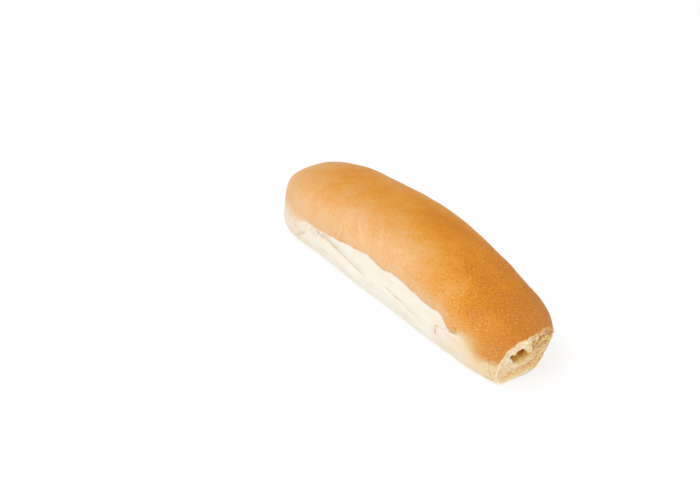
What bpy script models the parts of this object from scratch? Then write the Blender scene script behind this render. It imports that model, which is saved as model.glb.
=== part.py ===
"""A soft white hot dog bun, lying on its base: one end is round and shut, the other is cut off
square, and a flattened hollow for the sausage is bored into it from the cut.

The bun is one closed skin. It is shaped from a ball whose first pole is the round end and whose
last pole is the bottom of the hollow, so the rows of the ball run over the crust, across the cut
and down the hollow. Sizes are in metres: x runs from the round end to the cut, z is up.
"""

import math

import bmesh
import bpy
from mathutils import Vector, noise

NODE = "bun"

# The loaf
LENGTH = 0.180  # from the round end to the middle of the cut
UNCUT_LENGTH = 0.1891  # with the tip that the cut took off
WIDTH = 0.0569
HEIGHT = 0.0474
WIDEST_AT = 0.0814  # x of the widest place
HIGHEST_AT = 0.0889  # x of the highest place
TAPER = 0.123  # share of the width lost REACH away from the widest place
ARCH = 0.315  # share of the height lost REACH away from the highest place
REACH = 0.090
BEND = -0.0013  # how far the ends lie to one side
BEND_AT = 0.085

# How its ends and its section are rounded
SHOULDER_HEIGHT = 0.0215  # the level about which the ends close in
ROUND_END_WIDTH, ROUND_END_WIDTH_POWER = 0.0350, 2.13
ROUND_END_TOP, ROUND_END_TOP_POWER = 0.0148, 2.14
ROUND_END_BASE, ROUND_END_BASE_POWER = 0.0193, 2.2
TIP_WIDTH, TIP_WIDTH_POWER = 0.0276, 2.2
TIP_TOP, TIP_TOP_POWER = 0.0471, 2.29
WIDEST_LEVEL = 0.63  # share of the height at which the section is widest
DOME_POWER = 2.57  # section above that level
FLANK_POWER = 4.14  # section below it: steep sides and a broad base
SETTLED = 0.0007  # how far the base is pressed flat

# The cut
CUT_FROM = 0.75  # share of the length from which the skin leans with the cut
CUT_LEAN_UP = 0.154  # how far the cut leans out for each metre up
CUT_LEAN_ACROSS = -0.060
CUT_LEVEL = 0.015  # height at which the cut stands at LENGTH
CUT_BOW = 0.0016  # how far the middle of the cut stands out before its sides
CUT_BOW_REACH = 0.016
CUT_SCOOP = 0.0024  # how far the crumb under the hollow sinks behind the crust
CUT_SWELL = 0.0008  # how far the crumb over the hollow bulges
TORN_EDGE = (  # how the torn edge of the crust wanders along x: turn in degrees, distance
    (0, -0.0003), (36, -0.0016), (50, -0.0022), (66, -0.0016), (92, -0.0010), (120, -0.0003),
    (140, -0.0003), (168, 0.0010), (200, 0.0006), (290, 0.0008), (360, -0.0003),
)
TORN_REACH = 0.0060  # how far behind the cut the skin follows its torn edge
CRUMB_LUMPS = 0.0005
CRUMB_LUMP_SIZE = 0.0035

# The hollow
HOLLOW_DEPTH = 0.140
HOLLOW_WIDTH = 0.0210
HOLLOW_HEIGHT = 0.0124
HOLLOW_ACROSS = -0.0035  # y of its middle
HOLLOW_LEVEL = 0.0144  # z of its middle
MOUTH_FLARE = 0.0013  # how far the mouth opens wider than the hollow
MOUTH_DEPTH = 0.0040
HOLLOW_END = 0.0060  # length of its round bottom

# The flanks, pale where the loaf touched its neighbours in the oven
CRUST_EDGE = (  # x and the height of the crust's edge there, on the near flank
    (0.000, 0.0205), (0.029, 0.0189), (0.048, 0.0223), (0.073, 0.0271), (0.088, 0.0289),
    (0.107, 0.0280), (0.135, 0.0253), (0.150, 0.0210), (0.171, 0.0165), (0.180, 0.0170),
)
FAR_SHIFT = 0.176  # the far flank is the near one turned end for end
SIDE_BLEND = 0.016  # width over which one becomes the other at the round end
CRUST_LIP = 0.0006  # how far the crust stands out over the pale flank
LIP_WIDTH = 0.0014
LIP_ENDS = (0.020, 0.042, 0.146, 0.160)  # x between which it fades in, and out again
FLANK_FOOT = 0.0040  # below this height the flank runs out into the base
FOLD_PATH = (  # x and height of the fold in the flank
    (0.038, 0.0198), (0.047, 0.0188), (0.060, 0.0180), (0.074, 0.0162), (0.088, 0.0144),
)
FOLD_ENDS = (0.048, 0.072)
FOLD_FADE = 0.010
FOLD_DEPTH = 0.0011
FOLD_WIDTH = 0.0020
ROLL_HEIGHT = 0.0006  # the soft rolls above and below the fold
ROLL_OFFSET = 0.0056
ROLL_WIDTH = 0.0034

# Soft unevenness of the whole loaf
SWELL = 0.0007
SWELL_SIZE = 0.030
RIPPLE = 0.00025
RIPPLE_SIZE = 0.009
DENTS = (  # x, turn in degrees, reach, and height, which is less than nothing for a hollow
    (0.012, 208, 0.016, 0.0012), (0.046, 28, 0.013, -0.0006), (0.128, 22, 0.020, -0.0009),
    (0.152, 20, 0.014, -0.0004), (0.132, 224, 0.012, 0.0009), (0.178, 322, 0.008, -0.0006),
)

# Rows and segments of the skin
SEGMENTS = 80
END_ROWS = 13
LOAF_ROWS = 40
FACE_ROWS = 8
MOUTH_ROWS = 4
HOLLOW_ROWS = 12
BOTTOM_ROWS = 3
END_LENGTH = 0.032

CRUST_COLOUR = (0.69, 0.31, 0.075, 1.0)
CRUST_ROUGHNESS = 0.5


def clamp(value, low=0.0, high=1.0):
    return min(max(value, low), high)


def smooth(value):
    """0 to 1 with a soft start and end."""
    value = clamp(value)
    return value * value * (3 - 2 * value)


def bell(value):
    return math.exp(-value * value)


def along(stations, x):
    """A smooth curve through (place, value) stations, level beyond its ends."""
    if x <= stations[0][0]:
        return stations[0][1]
    if x >= stations[-1][0]:
        return stations[-1][1]
    n = next(i for i in range(1, len(stations)) if x <= stations[i][0])
    (xa, a), (xb, b) = stations[n - 1], stations[n]
    before, after = stations[max(n - 2, 0)], stations[min(n + 1, len(stations) - 1)]
    slope_a = (b - before[1]) / (xb - before[0])
    slope_b = (after[1] - a) / (after[0] - xa)
    t, step = (x - xa) / (xb - xa), xb - xa
    t2, t3 = t * t, t * t * t
    start = (2 * t3 - 3 * t2 + 1) * a + (t3 - 2 * t2 + t) * step * slope_a
    return start + (3 * t2 - 2 * t3) * b + (t3 - t2) * step * slope_b


def closing(distance, length, power):
    """1 inside the loaf, and 0 where an end has closed, length further on."""
    return max(1 - clamp(distance / length) ** power, 0) ** (1 / power)


def half_width(x):
    bulk = 1 - TAPER * ((x - WIDEST_AT) / REACH) ** 2
    round_end = closing(ROUND_END_WIDTH - x, ROUND_END_WIDTH, ROUND_END_WIDTH_POWER)
    tip = closing(x - (UNCUT_LENGTH - TIP_WIDTH), TIP_WIDTH, TIP_WIDTH_POWER)
    return WIDTH / 2 * bulk * round_end * tip


def base_and_top(x):
    crown = HEIGHT * (1 - ARCH * ((x - HIGHEST_AT) / REACH) ** 2)
    round_end = closing(ROUND_END_TOP - x, ROUND_END_TOP, ROUND_END_TOP_POWER)
    tip = closing(x - (UNCUT_LENGTH - TIP_TOP), TIP_TOP, TIP_TOP_POWER)
    top = SHOULDER_HEIGHT + (crown - SHOULDER_HEIGHT) * round_end * tip
    base = SHOULDER_HEIGHT * (1 - closing(ROUND_END_BASE - x, ROUND_END_BASE, ROUND_END_BASE_POWER))
    return base, top


def lean(point, share):
    """Moves a point along x as the slanted cut does: share is 1 on the cut itself."""
    slant = CUT_LEAN_UP * (point.z - CUT_LEVEL) + CUT_LEAN_ACROSS * point.y
    bow = CUT_BOW * (1 - (point.y / CUT_BOW_REACH) ** 2)
    return point + Vector((share * slant + share * share * bow, 0, 0))


def skin_point(x, turn):
    """The loaf's outside at x, turn radians from +y over the top."""
    across, up = math.cos(turn), math.sin(turn)
    base, top = base_and_top(x)
    middle = base + (top - base) * WIDEST_LEVEL
    power = DOME_POWER if up >= 0 else FLANK_POWER
    rise = top - middle if up >= 0 else middle - base
    wide = max(half_width(x), 1e-9)
    rise = max(rise, 1e-9)
    radius = (abs(across / wide) ** power + abs(up / rise) ** power) ** (-1 / power)
    bend = BEND * ((x - BEND_AT) / REACH) ** 2
    point = Vector((x, radius * across + bend, middle + radius * up))
    return lean(point, clamp((x / LENGTH - CUT_FROM) / (1 - CUT_FROM)))


def hollow_point(depth, turn, wider=0.0):
    """The hollow's wall, depth behind the cut."""
    across, up = math.cos(turn), math.sin(turn)
    wide = HOLLOW_WIDTH / 2 + wider
    high = HOLLOW_HEIGHT / 2 + wider
    radius = 1 / math.hypot(across / wide, up / high)
    point = Vector((LENGTH, HOLLOW_ACROSS + radius * across, HOLLOW_LEVEL + radius * up))
    point = lean(point, clamp(1 - depth / HOLLOW_DEPTH))
    point.x -= depth
    return point


def torn(turn):
    """How far the torn edge of the crust stands out along x."""
    return along(TORN_EDGE, math.degrees(turn) % 360)


def cut_point(share, turn):
    """The cut, from the crust at share 0 to the hollow's mouth at share 1."""
    outside = skin_point(LENGTH, turn)
    point = outside.lerp(hollow_point(0, turn, MOUTH_FLARE), share)
    middle = math.sin(math.pi * share)
    point.x -= CUT_SCOOP * middle * smooth(-math.sin(turn))
    point.x += CUT_SWELL * middle * smooth(math.sin(turn))
    lumps = noise.noise(point / CRUMB_LUMP_SIZE) + 0.5 * noise.noise(point * 2.3 / CRUMB_LUMP_SIZE)
    point.x += CRUMB_LUMPS * lumps * clamp(3 * share)
    point.x += torn(turn) * (1 - share) ** 2
    point += Vector((0, math.cos(turn), math.sin(turn))) * dent(outside) * (1 - share) ** 2
    return point


def mouth_point(share, turn):
    """The rounded edge of the hollow, share 0 at the cut and 1 where the straight wall starts."""
    flare = MOUTH_FLARE * (1 - share) ** 2
    return hollow_point(MOUTH_DEPTH * share * share, turn, flare)


def bottom_point(share, turn):
    """The round bottom of the hollow."""
    angle = math.pi / 2 * share
    rim = hollow_point(HOLLOW_DEPTH - HOLLOW_END, turn)
    pole = Vector((rim.x, HOLLOW_ACROSS, HOLLOW_LEVEL))
    point = pole.lerp(rim, math.cos(angle))
    point.x -= HOLLOW_END * math.sin(angle)
    return point


def rows():
    """One function and its position for every row of the skin, from pole to pole."""
    found = [(skin_point, END_LENGTH * (1 - math.cos(math.pi / 2 * n / END_ROWS))) for n in range(END_ROWS)]
    found += [(skin_point, END_LENGTH + (LENGTH - END_LENGTH) * n / LOAF_ROWS) for n in range(LOAF_ROWS + 1)]
    found += [(cut_point, n / FACE_ROWS) for n in range(1, FACE_ROWS + 1)]
    found += [(mouth_point, n / MOUTH_ROWS) for n in range(1, MOUTH_ROWS + 1)]
    straight = HOLLOW_DEPTH - HOLLOW_END - MOUTH_DEPTH
    found += [(hollow_point, MOUTH_DEPTH + straight * n / HOLLOW_ROWS) for n in range(1, HOLLOW_ROWS + 1)]
    found += [(bottom_point, n / BOTTOM_ROWS) for n in range(1, BOTTOM_ROWS + 1)]
    return found


def crust_edge(x, y):
    near, far = along(CRUST_EDGE, x), along(CRUST_EDGE, FAR_SHIFT - x)
    return near + (far - near) * smooth(0.5 + y / SIDE_BLEND)


def dent(point):
    """Height of the soft dents and swellings at a place of the plain loaf."""
    return sum(height * bell((point - centre).length / reach) for centre, reach, height in dent_places)


def fold_height(x, z):
    """The fold of a flank and the rolls beside it."""
    above = z - along(FOLD_PATH, x)
    rolls = bell((above - ROLL_OFFSET) / ROLL_WIDTH) + bell((above + ROLL_OFFSET) / ROLL_WIDTH)
    first, last = FOLD_ENDS
    share = smooth((x - first) / FOLD_FADE + 1) * smooth((last - x) / FOLD_FADE + 1)
    return share * (ROLL_HEIGHT * rolls - FOLD_DEPTH * bell(above / FOLD_WIDTH))


def skin_move(x, turn, point, outward):
    """From the plain loaf to the finished skin."""
    swell = SWELL * noise.noise(point / SWELL_SIZE) + RIPPLE * noise.noise(point / RIPPLE_SIZE)
    flank = smooth(2 * math.hypot(outward.x, outward.y) - 1) * smooth(point.z / FLANK_FOOT)
    below_crust = smooth((crust_edge(x, point.y) - point.z) / LIP_WIDTH + 0.5)
    place = x if outward.y < 0 else FAR_SHIFT - x
    starts, full, falls, ends = LIP_ENDS
    lip = CRUST_LIP * smooth((place - starts) / (full - starts)) * smooth((ends - place) / (ends - falls))
    move = outward * (swell + dent(point) + flank * below_crust * (fold_height(place, point.z) - lip))
    move.x += torn(turn) * smooth(1 - (LENGTH - x) / TORN_REACH)
    return move


def bun_mesh():
    row_list = rows()
    last_row = len(row_list) - 1
    last_skin_row = END_ROWS + LOAF_ROWS
    shape = bmesh.new()
    bmesh.ops.create_uvsphere(shape, u_segments=SEGMENTS, v_segments=last_row, radius=1)
    skin = []
    for vertex in shape.verts:
        turn = math.atan2(vertex.co.y, vertex.co.x)
        row = round(last_row * math.acos(clamp(vertex.co.z, -1, 1)) / math.pi)
        place, position = row_list[row]
        vertex.co = place(position, turn)
        if row <= last_skin_row:
            skin.append((vertex, position, turn))
    bmesh.ops.recalc_face_normals(shape, faces=shape.faces)
    shape.normal_update()
    moves = [skin_move(x, turn, vertex.co, vertex.normal) for vertex, x, turn in skin]
    for (vertex, x, turn), move in zip(skin, moves):
        vertex.co += move
    for vertex in shape.verts:
        vertex.co.z = max(vertex.co.z - SETTLED, 0)
    bmesh.ops.triangulate(shape, faces=shape.faces)
    stand_on_origin(shape)
    mesh = bpy.data.meshes.new(NODE)
    shape.to_mesh(mesh)
    shape.free()
    mesh.shade_smooth()
    mesh.set_sharp_from_angle(angle=math.radians(50))
    return mesh


def stand_on_origin(shape):
    """Puts the origin under the middle of the bun's box."""
    for axis in (0, 1):
        places = [vertex.co[axis] for vertex in shape.verts]
        middle = (min(places) + max(places)) / 2
        for vertex in shape.verts:
            vertex.co[axis] -= middle


def crust_material():
    material = bpy.data.materials.new("baked crust")
    material.use_nodes = True
    shader = material.node_tree.nodes["Principled BSDF"]
    shader.inputs["Base Color"].default_value = CRUST_COLOUR
    shader.inputs["Roughness"].default_value = CRUST_ROUGHNESS
    shader.inputs["Metallic"].default_value = 0.0
    return material


dent_places = [(skin_point(x, math.radians(turn)), reach, height) for x, turn, reach, height in DENTS]


def main():
    for old in list(bpy.data.objects):
        bpy.data.objects.remove(old)
    mesh = bun_mesh()
    mesh.materials.append(crust_material())
    bpy.context.scene.collection.objects.link(bpy.data.objects.new(NODE, mesh))


main()
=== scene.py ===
import math
import bmesh
import bpy
from mathutils import Matrix, Vector, noise


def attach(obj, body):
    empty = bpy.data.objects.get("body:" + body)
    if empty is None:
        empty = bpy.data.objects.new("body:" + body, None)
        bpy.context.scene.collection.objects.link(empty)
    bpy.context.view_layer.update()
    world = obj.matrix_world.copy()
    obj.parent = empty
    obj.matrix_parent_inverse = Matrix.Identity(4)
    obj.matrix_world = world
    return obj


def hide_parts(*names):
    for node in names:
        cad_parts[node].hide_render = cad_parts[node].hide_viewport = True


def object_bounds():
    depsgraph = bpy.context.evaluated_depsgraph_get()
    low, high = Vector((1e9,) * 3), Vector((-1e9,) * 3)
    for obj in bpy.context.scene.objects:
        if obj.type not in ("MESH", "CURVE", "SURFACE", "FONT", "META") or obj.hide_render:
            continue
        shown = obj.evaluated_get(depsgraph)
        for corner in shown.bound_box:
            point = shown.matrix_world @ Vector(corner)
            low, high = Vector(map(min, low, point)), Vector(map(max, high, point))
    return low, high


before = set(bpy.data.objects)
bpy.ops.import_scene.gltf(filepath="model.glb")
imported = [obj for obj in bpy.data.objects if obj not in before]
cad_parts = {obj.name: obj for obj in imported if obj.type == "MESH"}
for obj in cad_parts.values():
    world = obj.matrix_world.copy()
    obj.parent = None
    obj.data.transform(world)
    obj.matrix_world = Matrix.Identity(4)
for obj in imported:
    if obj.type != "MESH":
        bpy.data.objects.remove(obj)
cadLow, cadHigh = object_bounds()
print("frame loaded:", sorted(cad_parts))

mm = 0.001  # sizes are in metres, and the short ones are easier to read in millimetres
tiny = 1e-9  # stands in for 0 where something is divided by it


def addObject(name, data):
    made = bpy.data.objects.new(name, data)
    bpy.context.scene.collection.objects.link(made)
    return made


def addMesh(name, shape):
    mesh = bpy.data.meshes.new(name)
    shape.to_mesh(mesh)
    shape.free()
    return addObject(name, mesh)


# small maths helpers

def clamp(value, low=0.0, high=1.0):
    return min(max(value, low), high)


def smooth(value):  # 0 to 1 with a soft start and end
    value = clamp(value)
    return value * value * (3 - 2 * value)


def bell(value):
    return math.exp(-value * value)


def mix(a, b, share):
    return a + (b - a) * share


def along(stations, x):  # a smooth curve through (place, value) stations, level beyond its ends
    if x <= stations[0][0]:
        return stations[0][1]
    if x >= stations[-1][0]:
        return stations[-1][1]
    n = next(i for i in range(1, len(stations)) if x <= stations[i][0])
    (xa, a), (xb, b) = stations[n - 1], stations[n]
    before, after = stations[max(n - 2, 0)], stations[min(n + 1, len(stations) - 1)]
    slopeA = (b - before[1]) / (xb - before[0])
    slopeB = (after[1] - a) / (after[0] - xa)
    t, step = (x - xa) / (xb - xa), xb - xa
    t2, t3 = t * t, t * t * t
    start = (2 * t3 - 3 * t2 + 1) * a + (t3 - 2 * t2 + t) * step * slopeA
    return start + (3 * t2 - 2 * t3) * b + (t3 - t2) * step * slopeB


def between(value, first, full, last, end):  # 1 from full to last, 0 before first and after end
    return smooth((value - first) / (full - first)) * smooth((end - value) / (end - last))


strokeArch = (0.08, 0.92)  # the part of an arch that a line's strength follows
strokeLeast = 0.45  # its strength at the arch's feet


def strokeAt(u, v, start, end, width):  # 1 on a short line with fading ends, 0 away from it
    (ua, va), (ub, vb) = start, end
    t = clamp(((u - ua) * (ub - ua) + (v - va) * (vb - va)) / ((ub - ua) ** 2 + (vb - va) ** 2))
    off = math.hypot(u - mix(ua, ub, t), v - mix(va, vb, t))
    return bell(off / width) * mix(strokeLeast, 1, math.sin(math.pi * mix(*strokeArch, t)))


# the plain loaf, the cut and the hollow, as the CAD bun has them

loaf = {
    "length": 180 * mm,  # round end to the middle of the cut
    "uncutLength": 189.1 * mm,
    "width": 56.9 * mm,
    "height": 47.4 * mm,
    "widestAt": 81.4 * mm,
    "highestAt": 88.9 * mm,
    "taper": 0.123,
    "arch": 0.315,
    "reach": 90 * mm,
    "bend": -1.3 * mm,
    "bendAt": 85 * mm,
    "shoulderHeight": 21.5 * mm,
    "roundEndWidth": (35 * mm, 2.13),  # length and power of each rounding
    "roundEndTop": (14.8 * mm, 2.14),
    "roundEndBase": (19.3 * mm, 2.2),
    "tipWidth": (27.6 * mm, 2.2),
    "tipTop": (47.1 * mm, 2.29),
    "widestLevel": 0.63,
    "domePower": 2.57,
    "flankPower": 4.14,
    "settled": 0.7 * mm,
    "swell": 0.7 * mm,
    "swellSize": 30 * mm,
    "ripple": 0.25 * mm,
    "rippleSize": 9 * mm,
}

# soft dents and swellings in millimetres: where along, turn in degrees, reach, height
dents = (
    (12, 208, 16, 1.2),
    (46, 28, 13, -0.6),
    (128, 22, 20, -0.9),
    (152, 20, 14, -0.7),
    (132, 224, 12, 0.9),
    (170, 228, 12, -0.2),
    (178, 222, 6, 0.6),
    (178, 322, 8, -0.9),
)

cut = {
    "from": 0.75,
    "leanUp": 0.154,
    "leanAcross": -0.060,
    "level": 15 * mm,
    "bow": 1.6 * mm,
    "bowReach": 16 * mm,
    "scoop": 2.4 * mm,
    "swell": 0.8 * mm,
    "rimSetback": (  # how the torn crust's edge wanders: turn in degrees, distance in millimetres
        (0, -0.3), (20, -0.8), (36, -1.6), (50, -2.2), (66, -1.5), (92, -0.8), (120, 0), (140, 0),
        (148, 0.5), (156, 0.1), (168, 1), (182, 0.8), (200, 1.1), (222, 1.5), (250, 0.6), (290, 0.2),
        (330, -0.2), (360, -0.3),
    ),
    "rimReach": 6 * mm,  # how far from the cut the skin follows its torn edge
    "rimFray": 0.9 * mm,
    "rimFraySize": 2.2 * mm,
    "rimFineFray": 0.45 * mm,
    "rimFineFraySize": 0.88 * mm,
    "lowFray": 0.3,  # share of the fray that is left at the base
    "lowFrayTo": -0.9,  # sine of the turn from which the fray grows
    "sharpAbove": 17 * mm,  # the torn crust has a crisp edge above this height
    "wornTurns": (184, 200, 238, 264),  # between these turns the cut's edge is worn round
    "wornReach": 6 * mm,
    "wornPasses": 24,
    "wornFactor": 0.5,  # how strongly each pass evens it out
}

hollow = {
    "depth": 140 * mm,
    "width": 21 * mm,
    "height": 12.4 * mm,
    "across": -3.5 * mm,
    "level": 14.4 * mm,
    "flare": 1.3 * mm,
    "mouthDepth": 4 * mm,
    "end": 6 * mm,
}


def closing(distance, rounding):  # 1 inside the loaf, 0 where an end has closed
    length, power = rounding
    return max(1 - clamp(distance / length) ** power, 0) ** (1 / power)


def halfWidth(x):
    bulk = 1 - loaf["taper"] * ((x - loaf["widestAt"]) / loaf["reach"]) ** 2
    roundEnd = closing(loaf["roundEndWidth"][0] - x, loaf["roundEndWidth"])
    tip = closing(x - (loaf["uncutLength"] - loaf["tipWidth"][0]), loaf["tipWidth"])
    return loaf["width"] / 2 * bulk * roundEnd * tip


def baseAndTop(x):
    shoulder = loaf["shoulderHeight"]
    crown = loaf["height"] * (1 - loaf["arch"] * ((x - loaf["highestAt"]) / loaf["reach"]) ** 2)
    roundEnd = closing(loaf["roundEndTop"][0] - x, loaf["roundEndTop"])
    tip = closing(x - (loaf["uncutLength"] - loaf["tipTop"][0]), loaf["tipTop"])
    top = shoulder + (crown - shoulder) * roundEnd * tip
    base = shoulder * (1 - closing(loaf["roundEndBase"][0] - x, loaf["roundEndBase"]))
    return base, top


def lean(point, share):
    slant = cut["leanUp"] * (point.z - cut["level"]) + cut["leanAcross"] * point.y
    bow = cut["bow"] * (1 - (point.y / cut["bowReach"]) ** 2)
    return point + Vector((share * slant + share * share * bow, 0, 0))


def skinPoint(x, turn):  # turn runs from +y over the top
    across, up = math.cos(turn), math.sin(turn)
    base, top = baseAndTop(x)
    middle = base + (top - base) * loaf["widestLevel"]
    power = loaf["domePower"] if up >= 0 else loaf["flankPower"]
    wide = max(halfWidth(x), tiny)
    rise = max(top - middle if up >= 0 else middle - base, tiny)
    radius = (abs(across / wide) ** power + abs(up / rise) ** power) ** (-1 / power)
    bend = loaf["bend"] * ((x - loaf["bendAt"]) / loaf["reach"]) ** 2
    point = Vector((x, radius * across + bend, middle + radius * up))
    return lean(point, clamp((x / loaf["length"] - cut["from"]) / (1 - cut["from"])))


def hollowPoint(depth, turn, wider=0.0):
    across, up = math.cos(turn), math.sin(turn)
    wide = hollow["width"] / 2 + wider
    high = hollow["height"] / 2 + wider
    radius = 1 / math.hypot(across / wide, up / high)
    point = Vector((loaf["length"], hollow["across"] + radius * across, hollow["level"] + radius * up))
    point = lean(point, clamp(1 - depth / hollow["depth"]))
    point.x -= depth
    return point


def cutPoint(share, turn):  # from the crust at share 0 to the mouth at share 1
    point = skinPoint(loaf["length"], turn).lerp(hollowPoint(0, turn, hollow["flare"]), share)
    middle = math.sin(math.pi * share)
    point.x += middle * (cut["swell"] * smooth(math.sin(turn)) - cut["scoop"] * smooth(-math.sin(turn)))
    return point


def mouthPoint(share, turn):
    flare = hollow["flare"] * (1 - share) ** 2
    return hollowPoint(hollow["mouthDepth"] * share * share, turn, flare)


def bottomPoint(share, turn):  # the round bottom of the hollow
    angle = math.pi / 2 * share
    rim = hollowPoint(hollow["depth"] - hollow["end"], turn)
    point = Vector((rim.x, hollow["across"], hollow["level"])).lerp(rim, math.cos(angle))
    point.x -= hollow["end"] * math.sin(angle)
    return point


def onSkin(patches, unit):  # round patches with their centres as points
    return [(skinPoint(x * mm, math.radians(turn)), reach * mm, value * unit)
            for x, turn, reach, value in patches]


dentPlaces = onSkin(dents, mm)


def nearby(places, point):  # the sum of soft round patches of the skin
    return sum(value * bell((point - centre).length / reach) for centre, reach, value in places)


# the flanks: crust edge, folds, wrinkles and creases, as the near side has them

flanks = {
    "crustEdge": (  # in millimetres: place along the bun, height of the crust's edge
        (0, 20.5), (20, 19.4), (29, 18.9), (35, 21.3), (48, 22.3), (60, 24.5), (73, 27.1), (88, 28.9),
        (97, 26.9), (107, 28.3), (124, 26.8), (135, 25.3), (142, 25.7), (150, 20.2), (158.5, 22),
        (165, 19), (171, 15), (176, 14.8), (180, 15.2),
    ),
    "edgeWander": 0.6 * mm,
    "edgeWanderSize": 3.5 * mm,
    "edgeBlend": 16 * mm,  # width over which the near flank's edge becomes the far one's
    "edgeSoft": (  # in millimetres: place along the bun, how wide the crust fades into the flank
        (0, 3.2), (22, 4.4), (30, 3), (38, 0.9), (60, 0.5), (144, 0.5), (156, 2), (163, 4.2),
        (169, 3.6), (174, 2.4), (180, 2.2),
    ),
    "farShift": 176 * mm,  # the far flank is the near one turned end for end
    "lip": 0.6 * mm,  # how far the crust stands over the flank
    "lipWidth": 1.2 * mm,
    "lipEnds": (20 * mm, 42 * mm, 146 * mm, 160 * mm),  # it fades out towards both ends
    "foot": 4 * mm,
    "stainWidth": 0.45,  # of the brown line down in a fold, in millimetres
    "wrinkle": 0.35 * mm,
    "wrinkleSize": (12 * mm, 2.6 * mm),  # along and up the flank
    "crumpleFrom": 0.02,  # crumples weaker than this share are left out
    "crumpleStain": 3,  # how soon the hollows between them are stained
}

# long folds in millimetres: path along the flank, its ends, fade, depth, width, how stained, then the
# rolls beside it
folds = (
    {
        "path": ((38, 19.8), (47, 18.8), (60, 18), (74, 16.2), (88, 14.4), (100, 14.8)),
        "ends": (48, 79), "fade": 10, "depth": 1.1, "width": 1.5,
        "stain": 0.25, "roll": 0.6, "rollAway": 5.6, "rollWidth": 3.4,
    },
    {
        "path": ((98, 17.8), (109, 16.4), (116, 15.8), (120.5, 13.8), (137, 12.6)),
        "ends": (105, 132), "fade": 6, "depth": 0.3, "width": 1,
        "stain": 0, "roll": 0.3, "rollAway": 5, "rollWidth": 3.6,
    },
    {
        "path": ((136, 15.6), (144, 17.7), (150, 20)),
        "ends": (141, 149), "fade": 3, "depth": 0.3, "width": 0.7,
        "stain": 0.15, "roll": 0.3, "rollAway": 3, "rollWidth": 2,
    },
)

# short creases in millimetres: start x and z, end x and z, half width, depth, then how stained
creases = (
    ((28, 7.6), (35.6, 13.8), 0.55, 0.5, 0.5),
    ((53.4, 18.6), (53, 21), 0.4, 0.7, 0.9),
    ((56, 18.2), (63, 17.6), 0.5, 0.4, 0.5),
    ((102, 17.4), (107, 16.6), 0.26, 0.35, 0.45),
    ((108.5, 16.3), (116, 15.6), 0.28, 0.45, 0.6),
    ((119.5, 14.6), (123, 14.4), 0.4, 0.3, 0.3),
    ((140.8, 11.6), (140.9, 15.4), 0.36, 0.6, 0.8),
    ((140.6, 16.2), (141.4, 16.8), 0.7, 0.5, 1),
    ((148.2, 21.6), (149.4, 19.4), 0.5, 0.8, 1),
    ((149.5, 19), (155.5, 21), 0.4, 0.6, 1),
)

# crumpled patches in millimetres: centre x and z, reach along and up, wrinkle size along and up,
# height, then how stained
crumples = (
    ((46, 20.6), (8, 2.4), (1.6, 3), 1.1, 1),
    ((25, 14), (5, 4), (1.7, 7), 0.5, 0.3),
    ((91, 11), (14, 4), (4, 2.4), 0.35, 0),
)

# pale wrinkles in the near crust: start along the bun in millimetres and turn in degrees, end,
# half width in millimetres, then how pale
wrinkles = (
    ((63.8, 165), (64.7, 176), 0.6, 0.6),
    ((64.5, 176), (63, 187), 0.7, 0.6),
    ((69, 168), (69.6, 178), 0.7, 0.45),
    ((74.5, 157), (78.5, 164), 0.6, 0.6),
    ((78.5, 163), (83.4, 173), 0.6, 0.7),
    ((80.4, 167), (81, 174), 0.5, 0.5),
    ((68.5, 180), (76.5, 174.5), 0.8, 0.4),
    ((86.2, 171), (88, 177), 0.6, 0.4),
    ((88.4, 148), (92.2, 158), 0.5, 0.4),
    ((92, 158), (93, 163), 0.5, 0.4),
)
wrinkleTurn = 0.45  # millimetres of crust for a degree of turn


def flankPlace(x, outward):  # the place along the near flank that this one is like
    return x if outward.y < 0 else flanks["farShift"] - x


def wrinkleAt(x, turn):  # how pale the crust's wrinkles make it
    degrees = math.degrees(turn) % 360
    pale = 0.0
    for (xa, turnA), (xb, turnB), width, share in wrinkles:
        start, end = (xa, turnA * wrinkleTurn), (xb, turnB * wrinkleTurn)
        pale = max(pale, share * strokeAt(x / mm, degrees * wrinkleTurn, start, end, width))
    return pale


def crustEdge(x, y):  # height of the crust's lower edge
    near = along(flanks["crustEdge"], x / mm)
    far = along(flanks["crustEdge"], (flanks["farShift"] - x) / mm)
    wander = flanks["edgeWander"] * noise.noise(Vector((x, y, 0)) / flanks["edgeWanderSize"])
    return mix(near, far, smooth(0.5 + y / flanks["edgeBlend"])) * mm + wander


def creaseAt(x, z):  # depth and stain of the short creases
    depth = stain = 0.0
    for start, end, width, deep, stained in creases:
        line = strokeAt(x / mm, z / mm, start, end, width)
        depth += deep * mm * line
        stain = max(stain, stained * line)
    return depth, stain


def foldAt(x, z):  # relief, shade and stain of the long folds
    x, z = x / mm, z / mm
    relief = shade = stain = 0.0
    for fold in folds:
        first, last = fold["ends"]
        share = smooth((x - first) / fold["fade"] + 1) * smooth((last - x) / fold["fade"] + 1)
        if share == 0:
            continue
        above = z - along(fold["path"], x)
        line = bell(above / fold["width"])
        rolls = sum(bell((above - side * fold["rollAway"]) / fold["rollWidth"]) for side in (-1, 1))
        relief += share * (fold["roll"] * rolls - fold["depth"] * line)
        shade = max(shade, share * line)
        stain = max(stain, share * fold["stain"] * bell(above / flanks["stainWidth"]))
    return relief * mm, shade, stain


def crumpleAt(x, z, y):  # height and stain of the crumpled patches
    height = stain = 0.0
    for (cx, cz), (reachX, reachZ), (sizeX, sizeZ), high, stained in crumples:
        share = bell((x / mm - cx) / reachX) * bell((z / mm - cz) / reachZ)
        if share > flanks["crumpleFrom"]:
            place = Vector((x / mm / sizeX, y / mm / sizeZ, z / mm / sizeZ))
            wrinkle = noise.noise(place + Vector((cx, 0, 0)))
            height += high * mm * share * wrinkle
            stain = max(stain, stained * share * smooth(-flanks["crumpleStain"] * wrinkle))
    return height, stain


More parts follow.
